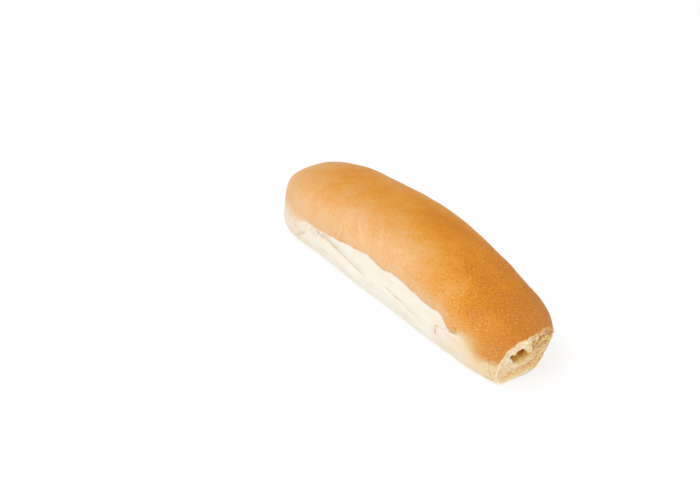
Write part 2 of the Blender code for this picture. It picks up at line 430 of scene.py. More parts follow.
def flankRelief(x, point, outward):  # height over the plain loaf, how stained it is there, and the painted shade in its folds
    place = flankPlace(x, outward)
    flank = smooth(2 * math.hypot(outward.x, outward.y) - 1) * smooth(point.z / flanks["foot"])
    gap = crustEdge(x, point.y) - point.z
    below = smooth(gap / flanks["lipWidth"] + 0.5)
    lip = flanks["lip"] * between(place, *flanks["lipEnds"])
    fold, shade, foldStain = foldAt(place, point.z)
    deep, stain = creaseAt(place, point.z)
    longSize, upSize = flanks["wrinkleSize"]
    grain = Vector((x / longSize, point.y / longSize, point.z / upSize))
    wrinkle = flanks["wrinkle"] * noise.noise(grain)
    crumple, crumpleStain = crumpleAt(place, point.z, point.y)
    relief = flank * below * (fold - lip + wrinkle + crumple) - flank * deep
    return relief, flank * max(stain, foldStain, below * crumpleStain), flank * below * shade


# the crumb: the torn cut, its ragged mouth and the walls of the hollow

crumb = {
    "lumps": 1.2 * mm,
    "lumpSize": 3.6 * mm,
    "fineLumps": 0.8 * mm,
    "fineLumpSize": 1.5 * mm,
    "pore": 0.7 * mm,
    "poreSize": 2.4 * mm,
    "poreWidths": (0.30, 0.22),  # the narrowest, and how much wider others are, in pore sizes
    "poreSeed": 7.1,
    "poreBends": (2.5, 0.4),  # size and amount, in pore sizes
    "smallPores": (0.45, 0.7),  # size and depth, as shares of the large ones
    "open": (0.85, 1.5),  # how open the crumb is on the near and on the far side of the cut
    "openAcross": (-4 * mm, 5 * mm),
    "growShare": 0.25,  # share of the cut over which its relief grows from the crust inwards
    "tearShare": 0.4,  # share of the cut that the torn mouth leaves alone
    "mouthEdge": (  # how much wider the mouth is torn: turn in degrees, distance in millimetres
        (-180, -4), (-146, -3.4), (-110, -2.6), (-83, -2.6), (-44, -3), (-17, -4.2), (10, -5.4),
        (30, -5.2), (45, -4.6), (68, -3.4), (90, -2.2), (108, -0.6), (124, 0.6), (141, -0.2),
        (151, -0.7), (158, 0.5), (164, -0.2), (170, -2), (180, -4),
    ),
    "fray": 0.5 * mm,
    "frayTurns": 5,
    "tornDepth": 9 * mm,
    "tongue": 4.4 * mm,  # a swelling of the lower and far wall just inside the mouth
    "tongueTurn": 36,  # in degrees
    "tongueSpread": 0.35,
    "tongueDepth": (6.5 * mm, 5 * mm),  # where along the hollow, and its reach
    "tongueFrom": 1.5 * mm,
    "wallLumps": 1 * mm,
    "wallLumpSize": (9 * mm, 3 * mm),  # along and round the hollow
    "wallRelief": 0.5,  # share of the cut's relief that the wall has
    "wallReliefFrom": 2 * mm,
    "wallShade": 0.6,  # and of the shade in its pores
    "wallRimGap": 30,  # all of the hollow counts as this far from the crust, in millimetres
    "toastFrom": 0.5 * mm,
    "toastFromFar": -0.6 * mm,  # the far side is golden from before the mouth
    "toastFarTurn": -10,  # in degrees
    "toastFarSpread": 1.5,
    "toastFade": 5.5 * mm,
    "toastWander": 0.35,
    "toastWanderSize": 4 * mm,
    "scarBend": 1.6,  # in millimetres
    "scarBendSize": 3.2 * mm,
}

# ridges and cracks of the cut in millimetres: start y and z, end y and z, half width, height, then shade
scars = (
    ((-4, 23.5), (4.5, 12), 1.5, 1.3, 0),
    ((3, 23.5), (8.5, 14.5), 1.3, -1.8, 0.9),
    ((8, 24.5), (12.5, 19), 1.2, 0.7, 0),
    ((9.5, 21.5), (13, 16.5), 0.9, -1.5, 0.9),
    ((6, 11), (11, 7), 1.2, -0.8, 0.5),
    ((-16.5, 19), (-14.5, 14), 1.3, 0.5, 0),
    ((-9, 4.2), (-6, 2.4), 0.6, -0.7, 0.8),
    ((-7.5, 10.2), (0, 15.8), 1.7, -0.4, 0.4),
)


def pitAt(point, size):  # 0 to 1, deep in the middle of a pore
    distances, places = noise.voronoi(point / size)
    narrowest, wider = crumb["poreWidths"]
    width = narrowest + wider * noise.cell(places[0] * crumb["poreSeed"])
    return smooth(1 - distances[0] / width)


def crumbRelief(point):  # how far the crumb stands out, and how deep in a pore the place is
    size = crumb["poreSize"]
    bendSize, bend = crumb["poreBends"]
    smallSize, smallDepth = crumb["smallPores"]
    lumps = crumb["lumps"] * noise.noise(point / crumb["lumpSize"])
    lumps += crumb["fineLumps"] * noise.noise(point / crumb["fineLumpSize"])
    bent = point + noise.noise_vector(point / (bendSize * size)) * bend * size
    pit = max(pitAt(bent, size), smallDepth * pitAt(bent, smallSize * size))
    near, far = crumb["openAcross"]
    openness = mix(*crumb["open"], smooth((point.y - near) / (far - near)))
    return openness * (lumps - crumb["pore"] * pit), clamp(openness * pit)


def scarAt(point):  # height and shade of the ridges and cracks in the cut
    bend = noise.noise_vector(point / crumb["scarBendSize"]) * crumb["scarBend"]
    height = shade = 0.0
    for start, end, width, high, dark in scars:
        line = strokeAt(point.y / mm + bend.x, point.z / mm + bend.y, start, end, width)
        height += high * mm * line
        shade = max(shade, dark * line)
    return height, shade


def tornMouth(turn):  # how much wider the mouth is at this turn
    degrees = (math.degrees(turn) + 180) % 360 - 180
    circle = Vector((math.cos(turn), math.sin(turn), 0)) * crumb["frayTurns"]
    return along(crumb["mouthEdge"], degrees) * mm + crumb["fray"] * noise.noise(circle)


def toastedAt(depth, turn, point):  # how golden the crumb is, from 0 round the mouth upwards
    far = smooth(math.cos(turn - math.radians(crumb["toastFarTurn"])) * crumb["toastFarSpread"])
    start = mix(crumb["toastFrom"], crumb["toastFromFar"], far)
    wander = crumb["toastWander"] * noise.noise(point / crumb["toastWanderSize"])
    return (depth - start) / crumb["toastFade"] + wander


def rimMove(turn):  # how far the torn edge of the crust stands back or forth
    rim = skinPoint(loaf["length"], turn)
    fray = cut["rimFray"] * noise.noise(rim / cut["rimFraySize"])
    fray += cut["rimFineFray"] * noise.noise(rim / cut["rimFineFraySize"])
    fray *= mix(cut["lowFray"], 1, smooth(math.sin(turn) - cut["lowFrayTo"]))
    return along(cut["rimSetback"], math.degrees(turn) % 360) * mm + fray


# the bun's mesh

bunMesh = {
    "segments": 256,
    "endRows": 36,
    "endLength": 32 * mm,
    "loafRows": 180,
    "rimRows": 8,
    "rimLength": 4 * mm,
    "faceRows": 38,
    "faceCrowding": 1.15,  # the rings of the cut stand closer together near the crust
    "mouthRows": 12,
    "wallRows": 24,
    "wallFine": 16 * mm,  # the first part of the hollow, which shows
    "deepRows": 34,
    "bottomRows": 6,
}


def evenRows(kind, first, last, count):  # rings of one kind, from after first up to last
    return [(kind, first + (last - first) * n / count) for n in range(1, count + 1)]


def bunRows():  # kind and position of every ring, from the round end to the bottom of the hollow
    m = bunMesh
    rimFrom = loaf["length"] - m["rimLength"]
    rows = [("skin", m["endLength"] * (1 - math.cos(math.pi / 2 * n / m["endRows"])))
            for n in range(m["endRows"] + 1)]
    rows += evenRows("skin", m["endLength"], rimFrom, m["loafRows"])
    rows += evenRows("skin", rimFrom, loaf["length"], m["rimRows"])
    rows += [(kind, share ** m["faceCrowding"]) for kind, share in evenRows("cut", 0, 1, m["faceRows"])]
    rows += evenRows("mouth", 0, 1, m["mouthRows"])
    rows += evenRows("wall", hollow["mouthDepth"], m["wallFine"], m["wallRows"])
    rows += evenRows("wall", m["wallFine"], hollow["depth"] - hollow["end"], m["deepRows"])
    return rows + evenRows("bottom", 0, 1, m["bottomRows"])


ringPlaces = {
    "skin": skinPoint, "cut": cutPoint, "mouth": mouthPoint, "wall": hollowPoint, "bottom": bottomPoint,
}

# how brown the crust is, from 0 at its palest to 1; places along the bun are in millimetres
# partly the crust's own browning, partly painted shade and light: darker over the top and the far side,
# paler down the lit near side
bakingAndShade = {
    "crown": (  # along the top
        (5, 0.2), (12, 0.26), (30, 0.45), (55, 0.56), (85, 0.6), (100, 0.68), (115, 0.74),
        (135, 0.78), (155, 0.81), (170, 0.93),
    ),
    "crownTurns": (60, 84),  # the brownest stripe, in degrees
    "reach": (72, 92),  # from there down to the far and the near edge of the crust
    "fall": (  # a high power keeps the sides brown almost down to the edge
        (0, 1.8), (30, 1.7), (60, 1.15), (100, 1.15), (120, 1.6), (135, 3), (155, 8), (180, 6),
    ),
    "least": (  # share of the crown's brown that is left at the edge
        (0, 0), (120, 0), (135, 0.1), (155, 0.42), (173, 0.6), (180, 0.8),
    ),
    "spots": (  # paler and browner places: along the bun, turn in degrees, reach in millimetres, change
        (45, 149, 10, 0.16), (69, 154, 8, -0.08), (85, 147, 8, 0.12), (94, 51, 14, 0.12),
        (107, 171, 6, 0.1), (111, 152, 8, -0.12), (116, 48, 10, 0.08), (127, 95, 12, -0.14),
        (132, 163, 9, 0.14), (144, 147, 7.5, -0.3), (167, 178, 7, -0.27), (168, 145, 7, -0.26),
        (176, 163, 8, 0.16),
    ),
}

spotPlaces = onSkin(bakingAndShade["spots"], 1)


# the brown includes painted shade over the top and far side, and painted light down the near side
def bakedAndShadedAt(x, turn):  # how brown the crust is
    degrees = (math.degrees(turn) + 90) % 360 - 90
    farTurn, nearTurn = bakingAndShade["crownTurns"]
    farReach, nearReach = bakingAndShade["reach"]
    away = clamp(max((farTurn - degrees) / farReach, (degrees - nearTurn) / nearReach))
    crown, fall, left = (along(bakingAndShade[name], x / mm) for name in ("crown", "fall", "least"))
    return crown * (1 - (1 - left) * away ** fall)


def skinVertex(x, turn, point, outward):  # the move and the attribute values of a vertex of the skin
    relief, stain, foldShade = flankRelief(x, point, outward)
    swell = loaf["swell"] * noise.noise(point / loaf["swellSize"])
    swell += loaf["ripple"] * noise.noise(point / loaf["rippleSize"])
    move = outward * (relief + swell + nearby(dentPlaces, point))
    fromRim = loaf["length"] - x
    move.x += rimMove(turn) * smooth(1 - fromRim / cut["rimReach"])
    values = {
        "edgeGap": (point.z - crustEdge(x, point.y)) / mm,
        "edgeSoft": along(flanks["edgeSoft"], flankPlace(x, outward) / mm),
        "bakedAndShaded": bakedAndShadedAt(x, turn) + nearby(spotPlaces, point),
        "stain": stain,
        "foldShade": foldShade,
        "rimGap": -fromRim / mm,
        "pale": wrinkleAt(x, turn),
    }
    return move, values


def cutVertex(share, turn, point):  # the same for a vertex of the cut
    rim = skinPoint(loaf["length"], turn)
    outwards = Vector((0, math.cos(turn), math.sin(turn)))
    torn = outwards * smooth((share - crumb["tearShare"]) / (1 - crumb["tearShare"])) * tornMouth(turn)
    relief, pit = crumbRelief(point + torn)
    height, shade = scarAt(point)
    grow = clamp(share / crumb["growShare"])
    move = Vector((grow * (relief + height), 0, 0)) + torn
    move.x += rimMove(turn) * (1 - share) ** 2
    move += outwards * nearby(dentPlaces, rim) * (1 - share) ** 2
    beforeMouth = (point - hollowPoint(0, turn, hollow["flare"])).length
    values = {
        "rimGap": (point - rim).length / mm,
        # how deep in a pore, or the shade of a crack, which the crumb shows as painted shade
        "pit": max(pit * grow, shade),
        "toasted": toastedAt(-beforeMouth, turn, point),
    }
    return move, values


def wallVertex(kind, position, turn, point, outward):  # and of the mouth, the wall or the bottom
    depth = {"mouth": hollow["mouthDepth"] * position * position, "wall": position,
             "bottom": hollow["depth"]}[kind]
    outwards = Vector((0, math.cos(turn), math.sin(turn)))
    inner = smooth(depth / crumb["tornDepth"])
    torn = outwards * tornMouth(turn) * (1 - inner)
    relief, pit = crumbRelief(point + torn)
    longSize, roundSize = crumb["wallLumpSize"]
    lumps = noise.noise(Vector((point.x / longSize, point.y / roundSize, point.z / roundSize)))
    fine = crumb["wallRelief"] * relief * smooth(depth / crumb["wallReliefFrom"])
    move = outward * (crumb["wallLumps"] * lumps * inner + fine)
    if kind == "mouth":
        move.x += (relief + scarAt(point)[0]) * (1 - position)
    move += torn
    tongueAt, tongueReach = crumb["tongueDepth"]
    tongueTurn = turn - math.radians(crumb["tongueTurn"])
    tongue = crumb["tongue"] * smooth(crumb["tongueSpread"] - math.sin(tongueTurn))
    tongue *= bell((depth - tongueAt) / tongueReach) * smooth(depth / crumb["tongueFrom"])
    move -= outwards * tongue
    values = {
        "rimGap": crumb["wallRimGap"],
        "pit": crumb["wallShade"] * pit,
        "toasted": toastedAt(depth, turn, point),
    }
    return move, values


def placeRings(shape, rows):  # shapes the ball into the plain form, and says what each vertex is
    last = len(rows) - 1
    facts = []
    for vertex in shape.verts:
        turn = math.atan2(vertex.co.y, vertex.co.x)
        row = round(last * math.acos(clamp(vertex.co.z, -1, 1)) / math.pi)
        kind, position = rows[row]
        vertex.co = ringPlaces[kind](position, turn)
        facts.append((kind, position, turn, row))
    return facts


def addRelief(shape, facts):  # moves every vertex, and keeps its values for the materials
    names = ("edgeGap", "edgeSoft", "bakedAndShaded", "stain", "foldShade", "pale", "rimGap", "pit", "toasted")
    layers = {name: shape.verts.layers.float.new(name) for name in names}
    moves = []
    for vertex, (kind, position, turn, row) in zip(shape.verts, facts):
        point, outward = vertex.co.copy(), vertex.normal.copy()
        if kind == "skin":
            move, values = skinVertex(position, turn, point, outward)
        elif kind == "cut":
            move, values = cutVertex(position, turn, point)
        else:
            move, values = wallVertex(kind, position, turn, point, outward)
        moves.append(move)
        for name, value in values.items():
            vertex[layers[name]] = value
    for vertex, move in zip(shape.verts, moves):
        vertex.co += move


def wearLowRim(shape, facts):  # at the near low edge of the cut flank and crumb run together
    wear = {}
    for vertex, (kind, position, turn, row) in zip(shape.verts, facts):
        if kind not in ("skin", "cut"):
            continue
        rim = skinPoint(loaf["length"], turn)
        away = loaf["length"] - position if kind == "skin" else (cutPoint(position, turn) - rim).length
        share = between(math.degrees(turn) % 360, *cut["wornTurns"]) * smooth(1 - away / cut["wornReach"])
        if share > 0:
            wear[vertex] = share
    for n in range(cut["wornPasses"]):
        worn = [vertex for vertex, share in wear.items() if share > (n + 0.5) / cut["wornPasses"]]
        bmesh.ops.smooth_vert(shape, verts=worn, factor=cut["wornFactor"],
                              use_axis_x=True, use_axis_y=True, use_axis_z=True)


def settle(shape, facts):  # presses the base flat
    for vertex, (kind, position, turn, row) in zip(shape.verts, facts):
        height = max(vertex.co.z, 0)
        if kind == "cut":  # the crumb rises from the base at once
            vertex.co.z = height * height / (height + loaf["settled"])
        else:
            vertex.co.z = max(height - loaf["settled"], 0)


def setFinishes(shape, facts):  # skin is the first material and crumb the second
    rowOf = {vertex: row for vertex, (kind, position, turn, row) in zip(shape.verts, facts)}
    lastSkin = max(row for kind, position, turn, row in facts if kind == "skin")
    for face in shape.faces:
        face.material_index = 0 if max(rowOf[v] for v in face.verts) <= lastSkin else 1
        face.smooth = True
    for edge in shape.edges:
        onRim = all(rowOf[v] == lastSkin for v in edge.verts)
        edge.smooth = not (onRim and edge.verts[0].co.z > cut["sharpAbove"])


def fitIntoBox(shape):  # the finished bread fills exactly the CAD bun's box
    for axis in range(3):
        low = min(v.co[axis] for v in shape.verts)
        high = max(v.co[axis] for v in shape.verts)
        grow = (cadHigh[axis] - cadLow[axis]) / (high - low)
        print("bun: axis", axis, "fits the box with", round(grow, 5), "from", round(low / mm, 2))
        for vertex in shape.verts:
            vertex.co[axis] = cadLow[axis] + (vertex.co[axis] - low) * grow


def makeBun():
    rows = bunRows()
    shape = bmesh.new()
    bmesh.ops.create_uvsphere(shape, u_segments=bunMesh["segments"], v_segments=len(rows) - 1, radius=1)
    facts = placeRings(shape, rows)
    bmesh.ops.recalc_face_normals(shape, faces=shape.faces)
    shape.normal_update()
    print("bun: plain form,", len(shape.faces), "faces")

    addRelief(shape, facts)
    wearLowRim(shape, facts)
    settle(shape, facts)
    print("bun: relief done")

    setFinishes(shape, facts)
    fitIntoBox(shape)
    return addMesh("bunBread", shape)


# node helpers

def linear(colour):  # screen colour 0-255 to the linear colour that nodes want
    def one(value):
        value /= 255
        return value / 12.92 if value <= 0.04045 else ((value + 0.055) / 1.055) ** 2.4
    return (*map(one, colour), 1.0)


def newMaterial(name, roughness, specular):
    material = bpy.data.materials.new(name)
    material.use_nodes = True
    shader = material.node_tree.nodes["Principled BSDF"]
    shader.inputs["Roughness"].default_value = roughness
    shader.inputs["Specular IOR Level"].default_value = specular
    return material, material.node_tree, shader


def plug(tree, socket, value):  # a number or a screen colour is set, an output is linked
    if isinstance(value, bpy.types.NodeSocket):
        tree.links.new(value, socket)
    else:
        socket.default_value = linear(value) if isinstance(value, tuple) else value


def attribute(tree, name):
    node = tree.nodes.new("ShaderNodeAttribute")
    node.attribute_name = name
    return node.outputs["Fac"]


def combine(tree, operation, a, b, c=0.0, clampIt=False):
    node = tree.nodes.new("ShaderNodeMath")
    node.operation = operation
    node.use_clamp = clampIt
    for socket, value in zip(node.inputs, (a, b, c)):
        plug(tree, socket, value)
    return node.outputs[0]


def added(tree, a, b):
    return combine(tree, "ADD", a, b)


def product(tree, a, b):
    return combine(tree, "MULTIPLY", a, b)


def noiseOf(tree, place, size, detail, rough):  # size is a feature's length in metres
    node = tree.nodes.new("ShaderNodeTexNoise")
    node.inputs["Scale"].default_value = 1 / size
    node.inputs["Detail"].default_value = detail
    node.inputs["Roughness"].default_value = rough
    tree.links.new(place, node.inputs["Vector"])
    return node.outputs["Fac"]


def ranged(tree, value, fromLow, fromHigh, toLow=0.0, toHigh=1.0, soft=False):
    node = tree.nodes.new("ShaderNodeMapRange")
    node.interpolation_type = "SMOOTHSTEP" if soft else "LINEAR"
    for name, number in (("Value", value), ("From Min", fromLow), ("From Max", fromHigh),
                         ("To Min", toLow), ("To Max", toHigh)):
        plug(tree, node.inputs[name], number)
    return node.outputs["Result"]


patternSpan = (0.3, 0.7)  # where nearly all values of a noise pattern are


def swing(tree, pattern, amount):  # a noise pattern as a change by up to about this amount either way
    return ranged(tree, pattern, *patternSpan, -amount, amount)


def stretched(tree, place, factors):  # the place with its three numbers multiplied
    node = tree.nodes.new("ShaderNodeVectorMath")
    node.operation = "MULTIPLY"
    tree.links.new(place, node.inputs[0])
    node.inputs[1].default_value = factors
    return node.outputs["Vector"]


def dotsOf(tree, place, size, radius):  # 1 in the middle of scattered dots, and a value of each dot's own
    node = tree.nodes.new("ShaderNodeTexVoronoi")
    node.inputs["Scale"].default_value = 1 / size
    tree.links.new(place, node.inputs["Vector"])
    split = tree.nodes.new("ShaderNodeSeparateColor")
    tree.links.new(node.outputs["Color"], split.inputs["Color"])
    return ranged(tree, node.outputs["Distance"], radius, 0.0), split.outputs["Red"]


def ramp(tree, value, stops):  # a colour for every value, through (value, colour) stops
    node = tree.nodes.new("ShaderNodeValToRGB")
    elements = node.color_ramp.elements
    while len(elements) < len(stops):
        elements.new(0.5)
    for element, (position, colour) in zip(elements, stops):
        element.position = position
        element.color = linear(colour)
    tree.links.new(value, node.inputs["Fac"])
    return node.outputs["Color"]


def blend(tree, share, a, b):
    node = tree.nodes.new("ShaderNodeMix")
    node.data_type = "RGBA"
    node.clamp_factor = True
    plug(tree, node.inputs["Factor"], share)
    plug(tree, node.inputs["A"], a)
    plug(tree, node.inputs["B"], b)
    return node.outputs["Result"]


def bumpOf(tree, height, distance, strength):
    node = tree.nodes.new("ShaderNodeBump")
    node.inputs["Strength"].default_value = strength
    node.inputs["Distance"].default_value = distance
    tree.links.new(height, node.inputs["Height"])
    return node.outputs["Normal"]


def objectPlace(tree):  # object coordinates, and their three numbers
    place = tree.nodes.new("ShaderNodeTexCoord").outputs["Object"]
    split = tree.nodes.new("ShaderNodeSeparateXYZ")
    tree.links.new(place, split.inputs["Vector"])
    return place, split.outputs


# materials

# colours are red, green and blue from 0 to 255, as on a screen
skinLook = {
    "crust": (
        (0.0, (229, 183, 132)), (0.12, (226, 174, 118)), (0.26, (222, 164, 94)),
        (0.38, (222, 156, 72)), (0.51, (219, 147, 52)), (0.62, (214, 139, 38)),
        (0.75, (207, 130, 27)), (0.88, (199, 120, 30)), (1.0, (191, 111, 26)),
    ),
    "crustRoundEnd": (231, 175, 130),
    "crustCutEnd": (198, 129, 52),
    # a paler, duller tint a little above the crust's edge
    "crustNearTint": (216, 180, 140),
    "crustPale": (240, 205, 150),
    "crustSpeck": (246, 190, 116),
    "flank": (236, 231, 218),
    "flankWarm": (233, 218, 193),
    # painted shade down in the flank's folds
    "flankFoldShade": (226, 212, 188),
    "flankStain": (182, 130, 76),
    "flankEnd": (230, 205, 160),
    "flankWorn": (232, 208, 166),
    "flankCrumbs": (212, 184, 132),
    "edgeLine": (206, 146, 78),
    "base": (200, 142, 76),
    "baseLight": (226, 182, 122),
    "roughness": 0.5,
    "flankRoughness": 0.85,
    "specular": 0.15,
    "bump": (0.14 * mm, 0.6),  # distance and strength
    "bumpShare": 0.5,  # of the smallest pattern in the bump
    "bakedSwings": (0.09, 0.06, 0.09),  # how much the broad, middle and fine patterns change the brown
    "grainSwing": -0.34,
    "speckSpacing": 0.95 * mm,
    "speckRadius": 0.5,  # as a share of the spacing
    "edgeSwing": 0.3,  # how ragged the crust's edge is, in millimetres
    "streakSwing": 0.3,  # and how streaky, as a share of its softness
    "streakStretch": (1.0, 1.0, 0.6),
    "lineFall": 0.05,  # what is left of the edge's line a millimetre away
    "baseSwing": 0.3 * mm,
}

# noise patterns of the skin: size, detail, roughness
skinPatterns = {
    "broad": (16 * mm, 3, 0.5),
    "middle": (6 * mm, 3, 0.5),
    "fine": (1.3 * mm, 3, 0.6),
    "grain": (0.85 * mm, 2, 0.6),
    "streaks": (2.6 * mm, 3, 0.6),
    "bumps": (0.5 * mm, 2, 0.5),
}

# how strong each colour of the skin is: from one value to another, and the shares there if not 0 and 1
skinShares = {
    "grained": (0, 72 * mm, 0.2, 1),  # along the bun
    "roundEnd": (-92 * mm, -66 * mm, 0.5, 0),
    "cutEnd": (60 * mm, 84 * mm, 0, 0.42),
    "nearTintFrom": (10 * mm, 35 * mm),
    "nearTintTo": (48 * mm, 66 * mm, 1, 0.5),
    "warmRoundEnd": (-32 * mm, -64 * mm, 0, 0.6),
    "warmCutEnd": (40 * mm, 58 * mm, 0, 0.6),
    "brownCutEnd": (56 * mm, 78 * mm, 0, 0.9),
    "nearTint": (17, 3, 0, 0.2),  # up and down from the crust's edge, in millimetres
    "brown": (-14, -4, 0.25, 1),
    "worn": (-8, -2, 0, 0.75),  # back from the cut, in millimetres
    "low": (0, 0.8 * mm, 0.9, 0),  # up from the base
    "lineSoft": (0.6, 2, 1, 0),  # with how soft the crust's edge is
    # painted shade along the folds
    "foldShade": (0.2, 1, 0, 0.35),
    "specks": (0.3, 1, 0, 0.75),  # with each speck's own value
    "grainPatches": (0.36, 0.6, 0.35, 1),  # with the noise patterns
    "palePatches": (0.36, 0.6, 0.35, 1.1),
    "warmPatches": (0.35, 0.7, -0.1, 0.5),
    "crumbPatches": (0.46, 0.58),
    "stainPatches": (0.35, 0.6, 0.5, 1),
    "linePatches": (0.4, 0.6, 0.1, 0.6),
    "basePatches": (0.35, 0.65),
}


def crustColour(tree, place, placeX, broad, middle, fine):
    look, at = skinLook, skinShares
    grain = noiseOf(tree, place, *skinPatterns["grain"])
    grained = ranged(tree, placeX, *at["grained"], soft=True)
    grained = product(tree, grained, ranged(tree, middle, *at["grainPatches"]))
    # the brown with its painted shade and light, from the skin's attribute
    bakedAndShaded = attribute(tree, "bakedAndShaded")
    for pattern, amount in zip((broad, middle, fine), look["bakedSwings"]):
        bakedAndShaded = added(tree, bakedAndShaded, swing(tree, pattern, amount))
    speckled = product(tree, swing(tree, grain, look["grainSwing"]), grained)
    bakedAndShaded = combine(tree, "ADD", bakedAndShaded, speckled, clampIt=True)
    crust = ramp(tree, bakedAndShaded, look["crust"])
    roundEnd = ranged(tree, placeX, *at["roundEnd"], soft=True)
    crust = blend(tree, roundEnd, crust, look["crustRoundEnd"])
    cutEnd = ranged(tree, placeX, *at["cutEnd"], soft=True)
    crust = blend(tree, cutEnd, crust, look["crustCutEnd"])
    # paler and duller a little above the crust's edge, on the half towards the cut
    nearTinted = ranged(tree, attribute(tree, "edgeGap"), *at["nearTint"], soft=True)
    nearTinted = product(tree, nearTinted, ranged(tree, placeX, *at["nearTintFrom"]))
    nearTinted = product(tree, nearTinted, ranged(tree, placeX, *at["nearTintTo"]))
    crust = blend(tree, nearTinted, crust, look["crustNearTint"])
    pale = product(tree, attribute(tree, "pale"), ranged(tree, fine, *at["palePatches"]))
    crust = blend(tree, pale, crust, look["crustPale"])
    dots, dotOwn = dotsOf(tree, place, look["speckSpacing"], look["speckRadius"])
    specks = product(tree, dots, ranged(tree, dotOwn, *at["specks"]))
    specks = product(tree, specks, grained)
    return blend(tree, specks, crust, look["crustSpeck"])


def flankColour(tree, placeX, middle, fine):
    look, at = skinLook, skinShares
    warm = ranged(tree, placeX, *at["warmRoundEnd"])
    warm = added(tree, warm, ranged(tree, placeX, *at["warmCutEnd"]))
    warm = combine(tree, "ADD", warm, ranged(tree, middle, *at["warmPatches"]), clampIt=True)
    flank = blend(tree, warm, look["flank"], look["flankWarm"])
    # painted shade down in the long folds
    foldShade = ranged(tree, attribute(tree, "foldShade"), *at["foldShade"])
    flank = blend(tree, foldShade, flank, look["flankFoldShade"])
    brown = ranged(tree, attribute(tree, "edgeGap"), *at["brown"])
    brown = product(tree, brown, ranged(tree, placeX, *at["brownCutEnd"], soft=True))
    flank = blend(tree, brown, flank, look["flankEnd"])
    worn = ranged(tree, attribute(tree, "rimGap"), *at["worn"], soft=True)
    crumbs = blend(tree, ranged(tree, fine, *at["crumbPatches"]), look["flankWorn"], look["flankCrumbs"])
    flank = blend(tree, worn, flank, crumbs)
    stain = product(tree, attribute(tree, "stain"), ranged(tree, fine, *at["stainPatches"]))
    return blend(tree, stain, flank, look["flankStain"])


def skinMaterial():
    look, at = skinLook, skinShares
    material, tree, shader = newMaterial("bakedSkin", look["roughness"], look["specular"])
    place, numbers = objectPlace(tree)
    broad = noiseOf(tree, place, *skinPatterns["broad"])
    middle = noiseOf(tree, place, *skinPatterns["middle"])
    fine = noiseOf(tree, place, *skinPatterns["fine"])
    crust = crustColour(tree, place, numbers["X"], broad, middle, fine)
    flank = flankColour(tree, numbers["X"], middle, fine)

    # the crust's edge is ragged, and streaky where it is soft
    streaks = noiseOf(tree, stretched(tree, place, look["streakStretch"]), *skinPatterns["streaks"])
    soft = attribute(tree, "edgeSoft")
    streaky = product(tree, swing(tree, streaks, look["streakSwing"]), soft)
    gap = added(tree, attribute(tree, "edgeGap"), swing(tree, fine, look["edgeSwing"]))
    gap = added(tree, gap, streaky)
    share = combine(tree, "DIVIDE", gap, soft)
    share = combine(tree, "MULTIPLY_ADD", share, 0.5, 0.5, clampIt=True)
    colour = blend(tree, share, flank, crust)
    line = combine(tree, "POWER", look["lineFall"], product(tree, gap, gap))
    line = product(tree, line, ranged(tree, middle, *at["linePatches"]))
    line = product(tree, line, ranged(tree, soft, *at["lineSoft"]))
    colour = blend(tree, line, colour, look["edgeLine"])

    low = added(tree, numbers["Z"], swing(tree, fine, look["baseSwing"]))
    base = blend(tree, ranged(tree, middle, *at["basePatches"]), look["base"], look["baseLight"])
    colour = blend(tree, ranged(tree, low, *at["low"], soft=True), colour, base)
    tree.links.new(colour, shader.inputs["Base Color"])

    roughness = ranged(tree, share, 0.0, 1.0, look["flankRoughness"], look["roughness"])
    tree.links.new(roughness, shader.inputs["Roughness"])
    bumps = noiseOf(tree, place, *skinPatterns["bumps"])
    height = combine(tree, "MULTIPLY_ADD", bumps, look["bumpShare"], fine)
    tree.links.new(bumpOf(tree, height, *look["bump"]), shader.inputs["Normal"])
    return material


crumbLook = {
    "crumb": (234, 221, 192),
    "crumbWarm": (240, 206, 172),
    "crumbOlive": (224, 200, 146),
    "far": (216, 176, 134),
    "farDark": (184, 140, 74),
    # the lower part of the cut: partly the crumb's own tan, partly painted shade where the face turns
    # downwards
    "lowShadeNear": (233, 205, 163),
    "lowShadeFar": (224, 189, 141),
    # painted shade deep in the pores and cracks
    "pore": (190, 150, 84),
    "rimTop": (208, 142, 76),
    "rimLow": (230, 208, 166),
    "rimFar": (198, 148, 96),
    "mouth": (222, 187, 122),
    "toastLight": (234, 185, 90),
    "toastDeep": (244, 186, 54),
    "inside": (226, 202, 158),
    "glow": 1.0,  # share of light that goes through the soft crumb, how far, and its colour
    "glowReach": 7.5 * mm,
    "glowRadius": (1.0, 0.84, 0.5),
    "roughness": 0.9,
    "specular": 0.15,
    "bump": (0.3 * mm, 0.6),  # distance and strength
    "zoneSwing": 2.5 * mm,  # how far the borders between its colours wander
    "toastSwing": 0.08,
    "rimSwing": 0.3,  # in millimetres
}

# noise patterns of the crumb: size, detail, roughness
crumbPatterns = {
    "middle": (4 * mm, 3, 0.5),
    "small": (1.8 * mm, 2, 0.6),
    "fine": (0.9 * mm, 3, 0.6),
}

# how strong each colour of the crumb is, as for the skin
crumbShares = {
    "crumbWarm": (0.44, 0.6),  # with the noise patterns
    "crumbOlive": (0.5, 0.66),
    "farDark": (0.42, 0.58),
    "far": (-6 * mm, 1.5 * mm, 0, 0.95),  # from the near to the far side
    "lowShadeFar": (-14 * mm, 10 * mm),
    "rimFar": (5 * mm, 11 * mm),
    # that painted shade and tan grow towards the base
    "low": (17 * mm, 8 * mm),  # up from the base
    "lowPores": (5 * mm, 10 * mm, 0.4, 1),
    "rimTop": (15 * mm, 19 * mm),
    # painted shade in the pores and cracks
    "pore": (0.1, 1, 0, 0.85),
    "mouth": (0, 0.25),  # with how toasted it is
    "toastLight": (0.2, 0.6),
    "toastDeep": (0.5, 1),
    "inside": (1.8, 3.6),
    "rim": (0.2, 0, 0.8),  # from the rim's width to this many millimetres, and the shares there
}
rimWidth = (4 * mm, 12 * mm, 0.9, 1.7)  # how many millimetres wide the rim is, from near to far


